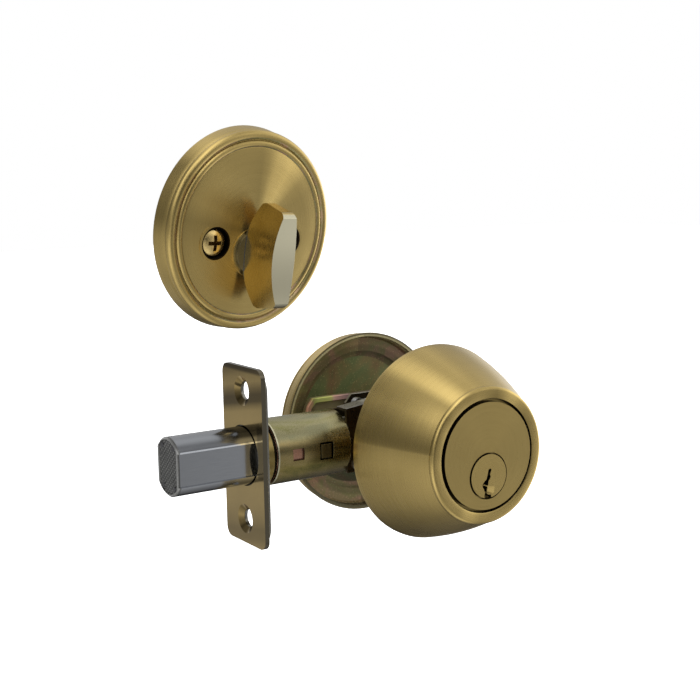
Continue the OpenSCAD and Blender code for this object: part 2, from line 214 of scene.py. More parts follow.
BRASS = (0.495, 0.365, 0.132)
BRASS_LO = (0.455, 0.333, 0.117)
BRASS_HI = (0.530, 0.395, 0.146)


# Painted reflection: painted highlights and shade by angle round the axis, multiplied into the base colour for the
# light the brushing catches on each side, as a share of a full turn starting at -X and going down through -Z, +X and
# +Z.
COLLAR_PAINTED_LIGHT = [(0.0, 1.03), (0.021, 0.90), (0.06, 0.86), (0.10, 0.84), (0.135, 0.74), (0.165, 0.68), (0.20, 0.90), (0.30, 0.95),
                  (0.50, 0.90), (0.62, 0.58), (0.655, 0.60), (0.68, 0.75), (0.72, 0.80), (0.755, 0.86), (0.780, 1.08), (0.800, 0.90),
                  (0.820, 1.02), (0.843, 1.16), (0.862, 0.82), (0.882, 1.04), (0.904, 1.16), (0.925, 0.93), (0.945, 0.76),
                  (0.968, 0.70), (0.976, 0.72), (0.9795, 1.16), (1.0, 1.03)]
LIP_PAINTED_LIGHT = [(0.0, 1.12), (0.15, 1.08), (0.178, 1.55), (0.198, 1.55), (0.222, 1.18), (0.26, 1.12), (0.36, 1.15), (0.40, 1.42), (0.50, 1.38),
               (0.53, 1.22), (0.57, 1.03), (0.61, 1.05), (0.635, 1.3), (0.657, 1.75), (0.677, 1.75), (0.70, 1.18), (0.72, 0.84), (0.76, 1.06),
               (0.78, 1.12), (0.81, 1.0), (0.86, 1.1), (0.885, 0.95), (0.92, 1.14), (0.95, 0.95), (0.98, 0.93), (1.0, 1.12)]
ROSE_PAINTED_LIGHT = [(0.0, 0.78), (0.07, 0.86), (0.13, 0.82), (0.22, 0.98), (0.26, 0.86), (0.31, 1.05), (0.38, 1.12), (0.44, 1.14), (0.50, 1.10),
                (0.545, 0.96), (0.585, 1.30), (0.61, 1.26), (0.66, 1.08), (0.70, 0.92), (0.74, 0.84), (0.782, 0.74), (0.802, 0.92),
                (0.824, 1.38), (0.862, 1.62), (0.885, 1.30), (0.905, 0.90), (0.935, 0.76), (0.97, 0.74), (1.0, 0.78)]


def turned_brass(name, cx, cz, rough=0.30, aniso=0.65, tint=1.0, grain=1.0, painted_sectors=None, inner=0.0, outer=99.0, lip_painted_light=None):
    """Satin brass turned and brushed round an axis along Y: fine rings, highlights drawn out across them; optional
    tables paint highlights and shade by angle into the base colour, over the field and over the lip.
    """
    m = Mat(name, Metallic=1.0, Anisotropic=aniso, Anisotropic_Rotation=0.25)
    dx, dz, r, y, th = lathe(m, cx, cz)
    arc = m.comb(m.math("COSINE", th), m.math("SINE", th), 0.0)
    # fine satin lines that run round the axis: fast across the brushing, slow along it
    run = m.math("ADD", r, y)
    fine = m.noise(m.vmath("ADD", m.vmath("SCALE", arc, scale=3.0), m.comb(0, 0, m.math("MULTIPLY", run, 16.0))), 1.0, 3.0, 0.7)
    wide = m.noise(m.vmath("ADD", m.vmath("SCALE", arc, scale=0.8), m.comb(0, 0, m.math("MULTIPLY", run, 1.3))), 1.0, 3.0, 0.6)
    cloud = m.noise(mm(m), 0.09, 3.0, 0.55)
    base = m.mix(m.remap(wide, 0.3, 0.7, 0.2, 0.8), tuple(c * tint for c in BRASS_LO), tuple(c * tint for c in BRASS_HI))
    base = m.mix(m.remap(fine, 0.35, 0.65, 0.0, 0.3), base, tuple(c * tint * 1.06 for c in BRASS_HI))
    base = m.mix(m.remap(cloud, 0.3, 0.7, 0.0, 0.25), base, tuple(c * tint * 0.92 for c in BRASS_LO))
    rg = m.math("ADD", m.remap(fine, 0.3, 0.7, rough - 0.03, rough + 0.04), m.remap(cloud, 0.3, 0.7, -0.02, 0.02))
    # painted highlights and shade by angle, kept between the inner and outer radii
    if painted_sectors:
        shift = 0.018 if name.endswith("rose") else 0.0
        peak = max(v for _, v in painted_sectors)
        wob = m.math("FRACT", m.math("ADD", m.math("MULTIPLY", th, 0.5 / math.pi), 0.5 + shift))
        level = m.math("MULTIPLY", m.ramp(wob, [(q, (v / peak, v / peak, v / peak)) for q, v in painted_sectors]), peak)
        keep = m.within(r, inner, outer, 0.5)
        level = m.math("ADD", m.math("MULTIPLY", m.math("SUBTRACT", level, 1.0), keep), 1.0)
        base = m.vmath("SCALE", base, scale=level)
    # painted highlights and shade by angle on the lip, between radii 17.9 and 21.5 mm
    if lip_painted_light:
        edge = m.math("SUBTRACT", m.tone(m.math("ADD", m.math("MULTIPLY", th, 0.5 / math.pi), 0.5), lip_painted_light), 1.0)
        base = m.vmath("SCALE", base, scale=m.math("ADD", m.math("MULTIPLY", edge, m.within(r, 17.9, 21.5, 0.4)), 1.0))
    tan = m.world_dir(m.comb(m.math("MULTIPLY", dz, -1.0), 0.0, dx))
    m.set(Base_Color=base, Roughness=rg, Tangent=tan, Normal=m.bump(fine, 0.07 * grain, 0.00002))
    return m


def cast(name, col_a, col_b, rough=0.35, scale=0.5, metallic=1.0, bump=0.15, lines=None):
    """Plain metal with slight mottling; lines=(x, y, z) stretches its grain."""
    m = Mat(name, Metallic=metallic)
    v = mm(m)
    if lines:
        v = m.vmath("MULTIPLY", v, lines)
    n1 = m.noise(v, scale, 4.0, 0.6)
    n2 = m.noise(mm(m), 0.12, 3.0, 0.5)
    base = m.mix(m.remap(n1, 0.3, 0.7, 0, 1), col_a, col_b)
    base = m.mix(m.remap(n2, 0.35, 0.7, 0, 0.3), base, tuple(0.8 * c for c in col_a))
    m.set(Base_Color=base, Roughness=m.remap(n1, 0.3, 0.7, rough - 0.06, rough + 0.08), Normal=m.bump(n1, bump, 0.00004))
    return m


def chromate(name, stops, rough=0.28, scale=0.16, streak=(1.0, 1.0, 1.0), depth=0.8, axis_term=None):
    """Zinc with an iridescent chromate film: slow shifts of hue, finer mottling and a drawn grain."""
    m = Mat(name, Metallic=1.0)
    v = mm(m)
    slow = m.noise(m.vmath("MULTIPLY", v, streak), scale, 3.0, 0.55, 0.6)
    fast = m.noise(v, 1.4, 5.0, 0.65)
    f = m.math("ADD", m.remap(slow, 0.25, 0.75, 0.0, depth), m.remap(fast, 0.3, 0.7, -0.07, 0.07))
    if axis_term is not None:
        f = m.math("ADD", f, axis_term(m))
    base = m.ramp(f, stops)
    m.set(Base_Color=base, Roughness=m.remap(fast, 0.3, 0.7, rough - 0.06, rough + 0.1), Normal=m.bump(fast, 0.1, 0.00004))
    return m


# ------------------------------------------------------------ shading of CAD pieces
def smooth_group():
    """Geometry nodes: joins the split vertices of an imported mesh and shades it smooth by angle."""
    g = bpy.data.node_groups.new("join_and_smooth", "GeometryNodeTree")
    g.interface.new_socket("Geometry", in_out="INPUT", socket_type="NodeSocketGeometry")
    g.interface.new_socket("Geometry", in_out="OUTPUT", socket_type="NodeSocketGeometry")
    i = g.nodes.new("NodeGroupInput")
    o = g.nodes.new("NodeGroupOutput")
    rem = g.nodes.new("GeometryNodeRemoveAttribute")
    rem.inputs["Name"].default_value = "custom_normal"
    mrg = g.nodes.new("GeometryNodeMergeByDistance")
    mrg.inputs["Distance"].default_value = 2e-6
    a = g.nodes.new("GeometryNodeSetShadeSmooth")
    b = g.nodes.new("GeometryNodeSetShadeSmooth")
    b.domain = "EDGE"
    ang = g.nodes.new("GeometryNodeInputMeshEdgeAngle")
    cmp_ = g.nodes.new("FunctionNodeCompare")
    cmp_.data_type = "FLOAT"
    cmp_.operation = "LESS_THAN"
    cmp_.inputs[1].default_value = math.radians(28)
    g.links.new(i.outputs[0], rem.inputs[0])
    g.links.new(rem.outputs[0], mrg.inputs[0])
    g.links.new(mrg.outputs[0], a.inputs[0])
    g.links.new(a.outputs[0], b.inputs[0])
    g.links.new(ang.outputs[0], cmp_.inputs[0])
    g.links.new(cmp_.outputs[0], b.inputs["Shade Smooth"])
    g.links.new(b.outputs[0], o.inputs[0])
    return g


SMOOTH = smooth_group()


def dress(obj, mat, bevel=0.0, segments=2, angle=30):
    obj.data.materials.clear()
    obj.data.materials.append(mat.m if isinstance(mat, Mat) else mat)
    g = obj.modifiers.new("join", "NODES")
    g.node_group = SMOOTH
    if bevel:
        b = obj.modifiers.new("edge", "BEVEL")
        b.width = bevel / 1000
        b.segments = segments
        b.limit_method = "ANGLE"
        b.angle_limit = math.radians(angle)
        b.harden_normals = True
        b.use_clamp_overlap = True
        b.miter_outer = "MITER_ARC"
    return obj


# ------------------------------------------------------------ materials
M = {}
M["collar"] = turned_brass("satin_brass_collar", BX, 0.0, rough=0.27, aniso=0.85, painted_sectors=COLLAR_PAINTED_LIGHT, inner=21.6, lip_painted_light=LIP_PAINTED_LIGHT)
M["face"] = turned_brass("satin_brass_face", BX, 0.0, rough=0.30, aniso=0.8)
M["plug"] = turned_brass("satin_brass_plug", BX, HZ, rough=0.28, aniso=0.6, tint=1.12)


def paint_gap_shade(m, cx, cz, rmax, ymax):
    """Painted shade on the walls of narrow gaps and of the key slot."""
    nx, ny, nz = m.sep(m.N)
    x, y, z = m.sep(m.P)
    r = m.vmath("LENGTH", m.comb(m.math("SUBTRACT", x, cx), 0.0, m.math("SUBTRACT", z, cz)))
    wall = m.remap(m.math("ABSOLUTE", ny), 0.25, 0.5, 1.0, 0.0)
    wall = m.math("MULTIPLY", wall, m.remap(r, rmax - 0.0001, rmax + 0.0001, 1.0, 0.0))
    wall = m.math("MULTIPLY", wall, m.remap(y, ymax - 0.0002, ymax + 0.0002, 1.0, 0.0))
    return m.paint(wall, (0.020, 0.014, 0.008))


paint_gap_shade(M["collar"], BX, 0.0, 0.0184, CF + 0.006)
paint_gap_shade(M["face"], BX, 0.0, 0.0176, CF + 0.004)
paint_gap_shade(M["plug"], BX, HZ, 0.0100, CF + 0.030)


def wing_material():
    """Thumbturn: brushed golden sides; the front edge, picked out by its facing, is polished smoother and painted
    paler as a painted reflection.
    """
    m = Mat("satin_brass_turn", Metallic=1.0)
    nx, ny, nz = m.sep(m.N)
    x, y, z = m.sep(m.P)
    n1 = m.noise(m.vmath("MULTIPLY", mm(m), (1.0, 5.0, 0.4)), 1.0, 3.0, 0.6)
    cloud = m.noise(mm(m), 0.15, 2.0, 0.5)
    side = m.mix(m.remap(n1, 0.3, 0.7, 0, 1), (0.45, 0.335, 0.125), (0.52, 0.395, 0.16))
    side = m.mix(m.remap(cloud, 0.3, 0.7, 0.0, 0.5), side, (0.36, 0.25, 0.07))
    # painted reflection: faces turned toward +Y get a paler colour; their lower roughness is real polish
    edge = m.remap(ny, 0.55, 0.75, 0.0, 1.0)
    m.set(Base_Color=m.mix(edge, side, (0.60, 0.56, 0.40)), Roughness=m.mix(edge, m.remap(n1, 0.3, 0.7, 0.22, 0.30), 0.20),
          Normal=m.bump(n1, 0.04, 0.00003))
    # the round foot the wing stands on
    foot = m.remap(y, YD + 0.0095, YD + 0.0097, 1.0, 0.0)
    return m.paint(foot, (0.20, 0.20, 0.20))


M["turn"] = wing_material()


def plate_material():
    m = cast("gloss_brass_plate", (0.30, 0.22, 0.090), (0.34, 0.25, 0.102), rough=0.12, scale=2.0, bump=0.03, lines=(1, 4, 0.15))
    nx, ny, nz = m.sep(m.N)
    x, y, z = m.sep(mm(m))
    # what the polished plate mirrors: light fields with two dark bands, slightly slanted
    t = m.math("ADD", z, m.math("MULTIPLY", y, 0.18))
    m.shade(m.tone(t, [(-31, 1.3), (-28.4, 0.95), (-27, 0.78), (-24, 0.74), (-21.5, 0.98), (-18, 1.22), (-15, 1.38), (-11, 1.46), (-8, 1.35),
                       (0, 1.15), (7, 1.55), (11.5, 1.78), (14.2, 1.74), (15.6, 1.2), (17.0, 0.48), (19.2, 0.45), (21, 0.85), (23.3, 1.62),
                       (25.6, 1.45), (27.5, 1.0), (31, 0.8)]))
    # painted shade: a dark band along the top edge
    m.shade(m.tone(z, [(-30, 1.0), (26.6, 1.0), (27.4, 0.30), (30, 0.26)]))
    # painted shade on a strip to the left of the bolt
    bolt_side_shade = m.math("MULTIPLY", m.within(z, -6.0, 10.8, 0.6), m.remap(y, -9.6, -8.8, 1.0, 0.0))
    m.shade(m.remap(bolt_side_shade, 0.0, 1.0, 1.0, 0.5))
    # painted shade on the plate's side faces
    side = m.remap(m.math("ABSOLUTE", nx), 0.3, 0.6, 1.0, 0.0)
    return m.paint(side, (0.16, 0.14, 0.10))


M["plate"] = plate_material()
M["brass"] = cast("plain_brass", (0.55, 0.43, 0.20), (0.62, 0.50, 0.25), rough=0.3)
def bolt_material():
    """Bright chrome along the bolt with painted highlight and shade bands and a painted shadow near the plate; duller
    knurled end face with painted shade in its hollows and a polished rim.
    """
    m = Mat("bolt_chrome", Metallic=1.0)
    x, y, z = m.sep(m.P)
    v = m.vmath("MULTIPLY", mm(m), (0.2, 4.0, 4.0))
    n1 = m.noise(v, 1.0, 4.0, 0.6)
    side = m.mix(m.remap(n1, 0.3, 0.7, 0, 1), (0.37, 0.385, 0.41), (0.41, 0.425, 0.45))
    zmm = m.math("MULTIPLY", z, 1000.0)
    # painted highlights and shade in bands by height, with a bright line along the top edge of the flat
    side = m.vmath("SCALE", side, scale=m.tone(zmm, [(-9.5, 0.9), (-7.6, 0.9), (-6.4, 1.05), (-5.2, 1.15), (5.15, 1.15), (5.2, 1.75), (5.58, 1.75), (5.68, 0.45),
                                                (6.8, 0.48), (7.7, 0.60), (8.45, 0.78), (9.0, 0.74), (9.5, 0.8)]))
    # painted shadow on the upper side near the plate
    shadow = m.math("MULTIPLY", m.remap(zmm, 6.8, 7.4, 0.0, 0.5), m.remap(x, SEAT - 0.0075, SEAT - 0.0050, 0.0, 1.0))
    side = m.vmath("SCALE", side, scale=m.math("SUBTRACT", 1.0, shadow))
    grit = m.noise(mm(m), 2.6, 3.0, 0.6)
    face = m.mix(m.remap(grit, 0.3, 0.7, 0, 1), (0.34, 0.34, 0.33), (0.56, 0.56, 0.545))
    front = m.remap(x, SEAT - 0.0262 + 0.00065, SEAT - 0.0262 + 0.0008, 1.0, 0.0)
    # painted shade darkens the knurl's hollows
    knurl_hollow_shade = m.remap(x, SEAT - 0.0262 + 0.00015, SEAT - 0.0262 + 0.00055, 0.0, 0.75)
    face = m.mix(knurl_hollow_shade, face, (0.035, 0.035, 0.035))
    m.set(Base_Color=m.mix(front, side, face), Roughness=m.math("ADD", m.remap(n1, 0.3, 0.7, 0.13, 0.19), m.math("MULTIPLY", front, 0.17)),
          Normal=m.bump(n1, 0.03, 0.00003))
    return m


M["bolt"] = bolt_material()
M["steel"] = cast("bare_steel", (0.42, 0.42, 0.41), (0.52, 0.52, 0.50), rough=0.3)
M["dark"] = cast("hardened_steel", (0.09, 0.09, 0.10), (0.14, 0.14, 0.145), rough=0.35)
YELLOW = [(0.0, (0.20, 0.22, 0.08)), (0.25, (0.34, 0.32, 0.13)), (0.45, (0.44, 0.40, 0.22)), (0.6, (0.36, 0.35, 0.20)), (0.8, (0.42, 0.31, 0.14)), (1.0, (0.30, 0.20, 0.14))]
M["tube"] = chromate("yellow_chromate_tube", YELLOW, rough=0.26, scale=0.10, streak=(0.4, 1, 1))
# the tube is barred with broad reflections that run along it and change toward the door's middle
_t = M["tube"]
_x, _y, _z = _t.sep(mm(_t))
_a = _t.math("MULTIPLY", _t.math("ARCTAN2", _z, _t.math("ABSOLUTE", _y)), 180 / math.pi)
_near = _t.tone(_a, [(-90, .60), (-65, .55), (-45, .68), (-25, .74), (-12, .92), (0, .86), (10, .58), (15, .58), (22, .82), (35, .66), (60, .70), (90, .72)])
_mid = _t.tone(_a, [(-90, .60), (-65, .60), (-45, .53), (-25, .56), (-10, .40), (5, .46), (15, .52), (27, .52), (36, .68), (50, .75), (70, .72), (85, .90), (90, .95)])
_far = _t.tone(_a, [(-90, .40), (-55, .45), (-30, .45), (-15, .52), (5, 1.10), (15, .85), (25, 1.80), (35, 1.10), (50, .86), (75, .98), (90, 1.0)])
_lvl = _t.math("ADD", _near, _t.math("MULTIPLY", _t.math("SUBTRACT", _mid, _near), _t.remap(_x, 14.0, 18.0, 0.0, 1.0)))
_lvl = _t.math("ADD", _lvl, _t.math("MULTIPLY", _t.math("SUBTRACT", _far, _lvl), _t.remap(_x, 22.5, 26.0, 0.0, 1.0)))
_t.shade(_t.math("MULTIPLY", _lvl, 1.05))
_low = _t.math("MULTIPLY", _t.remap(_a, 22.0, 32.0, 1.0, 0.0), _t.remap(_x, 0.0, 1.0, 0.0, 1.0))
_t.set(Base_Color=_t.mix(_low, _t.base(), _t.vmath("MULTIPLY", _t.base(), (1.04, 0.90, 0.74))))
nx_, ny_, nz_ = M["tube"].sep(M["tube"].N)
x_, y_, z_ = M["tube"].sep(M["tube"].P)
# painted shade on the walls of the tube's windows
window_wall_shade = M["tube"].math("MAXIMUM", M["tube"].remap(M["tube"].math("ABSOLUTE", nx_), 0.5, 0.8, 0.0, 1.0), M["tube"].remap(M["tube"].math("ABSOLUTE", nz_), 0.8, 0.95, 0.0, 1.0))
window_wall_shade = M["tube"].math("MULTIPLY", window_wall_shade, M["tube"].within(x_, 0.0090, 0.0252, 0.0002))
window_wall_shade = M["tube"].math("MULTIPLY", window_wall_shade, M["tube"].remap(M["tube"].math("ABSOLUTE", z_), 0.0032, 0.0034, 1.0, 0.0))
M["tube"].paint(window_wall_shade, (0.03, 0.022, 0.012))
# painted highlight along the tube's front edge
M["tube"].paint(M["tube"].remap(x_, 0.0047, 0.00485, 1.0, 0.0), (0.62, 0.58, 0.40))
M["tube"].paint(M["tube"].math("MULTIPLY", M["tube"].remap(x_, 0.0235, 0.0300, 0.0, 1.0), 0.45), (0.17, 0.13, 0.05))
M["gold"] = chromate("gold_chromate", [(0.0, (0.28, 0.20, 0.06)), (0.5, (0.33, 0.25, 0.09)), (1.0, (0.31, 0.22, 0.09))], rough=0.2)
M["screw"] = chromate("gold_screw", [(0.0, (0.88, 0.62, 0.23)), (0.5, (0.98, 0.74, 0.31)), (1.0, (0.92, 0.66, 0.26))], rough=0.26)
# painted shade: a dark cross on top of each screw head for its shadowed recess
px, py, pz = M["screw"].sep(M["screw"].P)
adx = M["screw"].math("ABSOLUTE", M["screw"].math("SUBTRACT", M["screw"].math("ABSOLUTE", M["screw"].math("SUBTRACT", px, BX)), SX))
adz = M["screw"].math("ABSOLUTE", M["screw"].math("SUBTRACT", pz, SZ))
lo = M["screw"].math("MINIMUM", adx, adz)
hi = M["screw"].math("MAXIMUM", adx, adz)
cross = M["screw"].math("MULTIPLY", M["screw"].remap(lo, 0.00058, 0.00062, 1.0, 0.0), M["screw"].remap(hi, 0.00238, 0.00242, 1.0, 0.0))
cross = M["screw"].math("MULTIPLY", cross, M["screw"].remap(py, YD + 0.0052, YD + 0.0054, 0.0, 1.0))
M["screw"].paint(cross, (0.05, 0.03, 0.01))
M["copper"] = chromate("copper_wash", [(0.0, (0.52, 0.26, 0.18)), (1.0, (0.60, 0.36, 0.26))], rough=0.28)
x_, y_, z_ = M["copper"].sep(M["copper"].P)
# painted shade in the groove between the front ring and the tube
M["copper"].paint(M["copper"].within(x_, 0.00285, 0.0044, 0.00003), (0.015, 0.012, 0.008))
M["backing"] = cast("backing_steel", (0.26, 0.25, 0.22), (0.34, 0.33, 0.29), rough=0.3)
M["case"] = chromate("dark_chromate_case", [(0.0, (0.10, 0.11, 0.085)), (0.5, (0.16, 0.155, 0.12)), (1.0, (0.13, 0.10, 0.09))], rough=0.3)
IRID = [(0.0, (0.24, 0.27, 0.16)), (0.25, (0.42, 0.42, 0.20)), (0.5, (0.55, 0.42, 0.22)), (0.7, (0.52, 0.33, 0.27)), (0.85, (0.36, 0.26, 0.27)), (1.0, (0.25, 0.28, 0.19))]
M["mount"] = chromate("iridescent_chromate", IRID, rough=0.24, scale=0.14, depth=1.0)


def case_material():
    """Near-black side plates, a folded top edge painted silver as a painted highlight, and lugs finished like the tube
    they snap into.
    """
    m = M["case"]
    nx, ny, nz = m.sep(m.N)
    x, y, z = m.sep(m.P)
    m.paint(1.0, (0.085, 0.064, 0.036))
    n1 = m.noise(m.vmath("MULTIPLY", mm(m), (0.4, 3.0, 1.0)), 1.0, 3.0, 0.6)
    # painted highlight: upward faces of the top edge are silver, dimmer toward -X
    top = m.math("MULTIPLY", m.remap(nz, 0.5, 0.7, 0.0, 1.0), m.remap(z, 0.0105, 0.0108, 0.0, 1.0))
    top_painted_highlight = m.vmath("SCALE", m.mix(m.remap(n1, 0.3, 0.7, 0, 1), (0.70, 0.68, 0.60), (0.95, 0.93, 0.84)), scale=m.remap(x, 0.0385, 0.0405, 0.5, 1.0))
    m.paint(top, top_painted_highlight)
    lug = m.math("MULTIPLY", m.remap(x, 0.0248, 0.0250, 1.0, 0.0), m.remap(m.math("ABSOLUTE", y), 0.0090, 0.0094, 0.0, 1.0))
    m.paint(lug, (0.20, 0.16, 0.07))
    return m


case_material()


def mount_plate_material():
    """Interior mounting plate: field painted dark as shade, raised edge with a film that runs from pink through green
    to mauve, and painted light and shade along X.
    """
    m = Mat("iridescent_plate", Metallic=0.55)
    x, y, z = m.sep(m.P)
    n1 = m.noise(mm(m), 0.5, 3.0, 0.6)
    f = m.math("ADD", m.remap(x, 0.030, 0.058, 0.0, 1.0), m.remap(n1, 0.3, 0.7, -0.025, 0.025))
    film = m.ramp(f, [(0.0, (0.66, 0.34, 0.22)), (0.13, (0.66, 0.36, 0.22)), (0.20, (0.42, 0.46, 0.13)), (0.44, (0.46, 0.46, 0.15)),
                      (0.50, (0.54, 0.32, 0.26)), (0.8, (0.52, 0.34, 0.33)), (1.0, (0.50, 0.34, 0.34))])
    # painted shade over the recessed field behind the raised edge
    shaded_field = m.remap(y, YD - 0.0014, YD - 0.0012, 0.0, 1.0)
    m.set(Base_Color=m.mix(shaded_field, film, (0.20, 0.17, 0.085)), Roughness=m.remap(n1, 0.3, 0.7, 0.30, 0.40))
    # painted highlights and shade along X, brightest from 37 to 46 mm
    m.shade(m.tone(m.math("MULTIPLY", x, 1000.0), [(26, 1.0), (35, 1.05), (37, 1.7), (43, 1.9), (46, 1.4), (50, 0.7), (60, 0.6), (90, 0.8)]))
    return m


M["mount_plate"] = mount_plate_material()


def rose_material():
    """Brushed brass outside with painted highlights and shade by angle, iridescent chromate on the back of the
    stamping with painted light and shade.
    """
    m = turned_brass("satin_brass_rose", BX, 0.0, rough=0.28, aniso=0.85, painted_sectors=ROSE_PAINTED_LIGHT, inner=3.0, outer=26.0)
    old = m.b.inputs["Base Color"].links[0].from_socket
    oldr = m.b.inputs["Roughness"].links[0].from_socket
    v = mm(m)
    dx, dz, r, y, th = lathe(m, BX, 0.0)
    slow = m.noise(v, 0.075, 3.0, 0.6, 0.8)
    fast = m.noise(v, 1.4, 5.0, 0.65)
    f = m.math("ADD", m.remap(slow, 0.25, 0.75, 0.0, 1.0), m.remap(fast, 0.3, 0.7, -0.05, 0.05))
    dish = m.ramp(f, [(0.0, (0.16, 0.215, 0.08)), (0.3, (0.23, 0.255, 0.10)), (0.5, (0.29, 0.25, 0.10)), (0.7, (0.30, 0.20, 0.09)), (1.0, (0.17, 0.21, 0.085))])
    ledge = m.ramp(f, [(0.0, (0.27, 0.165, 0.085)), (0.35, (0.21, 0.19, 0.075)), (0.65, (0.32, 0.195, 0.12)), (1.0, (0.22, 0.21, 0.09))])
    low = m.math("SUBTRACT", m.math("MULTIPLY", dz, 1000.0), r)
    # painted light: brighter toward -X, used on the ledge and the rim
    lit = m.remap(m.math("MULTIPLY", dx, 1000.0), -24.0, 6.0, 1.35, 0.95)
    # painted shade: the dish darkens toward the bottom
    dish = m.vmath("SCALE", dish, scale=m.tone(low, [(-64, 0.26), (-50, 0.28), (-36, 0.45), (-26, 0.8), (-10, 1.0), (5, 1.0)]))
    film = m.mix(m.remap(r, 22.6, 23.0, 0.0, 1.0), dish, m.vmath("SCALE", ledge, scale=m.math("MULTIPLY", lit, 0.75)))
    film = m.mix(m.remap(r, 26.6, 27.6, 0.0, 1.0), film, m.vmath("SCALE", ledge, scale=m.math("MULTIPLY", lit, 1.15)))
    # turned-over rim, brighter than the film, with painted light toward -X and painted shade toward the bottom
    rim = m.vmath("SCALE", (0.50, 0.44, 0.23), scale=m.math("MULTIPLY", lit, m.tone(low, [(-64, 0.22), (-45, 0.25), (-30, 0.8), (5, 1.0)])))
    film = m.mix(m.remap(r, 30.0, 30.25, 0.0, 1.0), film, rim)
    film = m.mix(m.remap(r, 31.0, 31.2, 0.0, 1.0), film, (0.20, 0.17, 0.09))
    away = m.vmath("SUBTRACT", m.P, (BX, YD - 0.006, 0.0))
    facing = m.vmath("DOT_PRODUCT", m.N, m.vmath("NORMALIZE", away))
    back = m.remap(facing, -0.06, -0.02, 1.0, 0.0)
    m.set(Base_Color=m.mix(back, old, film), Roughness=m.mix(back, oldr, m.remap(fast, 0.3, 0.7, 0.18, 0.30)),
          Metallic=m.remap(back, 0.0, 1.0, 1.0, 0.45))
    # shadowed counterbores of the two screws
    px, py, pz = m.sep(m.P)
    for side in (-1, 1):
        d = m.vmath("LENGTH", m.comb(m.math("SUBTRACT", px, BX + side * SX), 0.0, m.math("SUBTRACT", pz, SZ)))
        m.paint(m.math("MULTIPLY", m.remap(d, 0.00505, 0.00515, 1.0, 0.0), m.remap(py, YD + 0.0090, YD + 0.0092, 1.0, 0.0)), (0.015, 0.010, 0.006))
    return m


M["rose"] = rose_material()

ASSIGN = {
    "exterior_collar": ("collar", 0.0), "collar_ring": ("steel", 0.0), "cylinder_housing": ("face", 0.12),
    "key_plug": ("plug", 0.10), "plug_cap": ("brass", 0.2), "bottom_pins": ("brass", 0.0), "driver_pins": ("steel", 0.1),
    "pin_springs": ("steel", 0.0), "chamber_cover": ("brass", 0.15), "tailpiece": ("steel", 0.15), "faceplate": ("plate", 0.22),
    "backing_plate": ("backing", 0.12), "front_ring": ("gold", 0.12), "inner_sleeve": ("copper", 0.1), "bolt_tube": ("tube", 0.12),
    "bolt_bar": ("bolt", 0.15), "hardened_pins": ("dark", 0.08), "bolt_tail": ("steel", 0.15), "tail_rivet": ("steel", 0.15),
    "case_exterior": ("case", 0.2), "case_interior": ("case", 0.15), "case_rivets": ("steel", 0.3), "cam_crank": ("mount", 0.2),
    "interior_rose": ("rose", 0.14), "mounting_plate": ("mount_plate", 0.5), "thumbturn": ("turn", 0.35), "thumb_spindle": ("tube", 0.15),
    "spring_washer": ("steel", 0.1), "retaining_ring": ("dark", 0.12), "mounting_screws": ("screw", 0.12),
}
for name, (mat, bev) in ASSIGN.items():
    dress(NODES[name], M[mat], bev)

# ------------------------------------------------------------ bolt with a knurled end
THROW = 0.0262
FRONT = SEAT - THROW          # the bolt's end face, X


def new_object(name, verts, faces):
    me = bpy.data.meshes.new(name)
    me.from_pydata([tuple(v) for v in verts], [], faces)
    me.validate()
    ob = bpy.data.objects.new(name, me)
    scene.collection.objects.link(ob)
    return ob


def use_boolean(ob, other, operation):
    m = ob.modifiers.new("cut", "BOOLEAN")
    m.operation = operation
    m.solver = "EXACT"
    m.object = other
    dg = bpy.context.evaluated_depsgraph_get()
    me = bpy.data.meshes.new_from_object(ob.evaluated_get(dg))
    ob.modifiers.clear()
    ob.data = me
    bpy.data.objects.remove(other)
    return ob


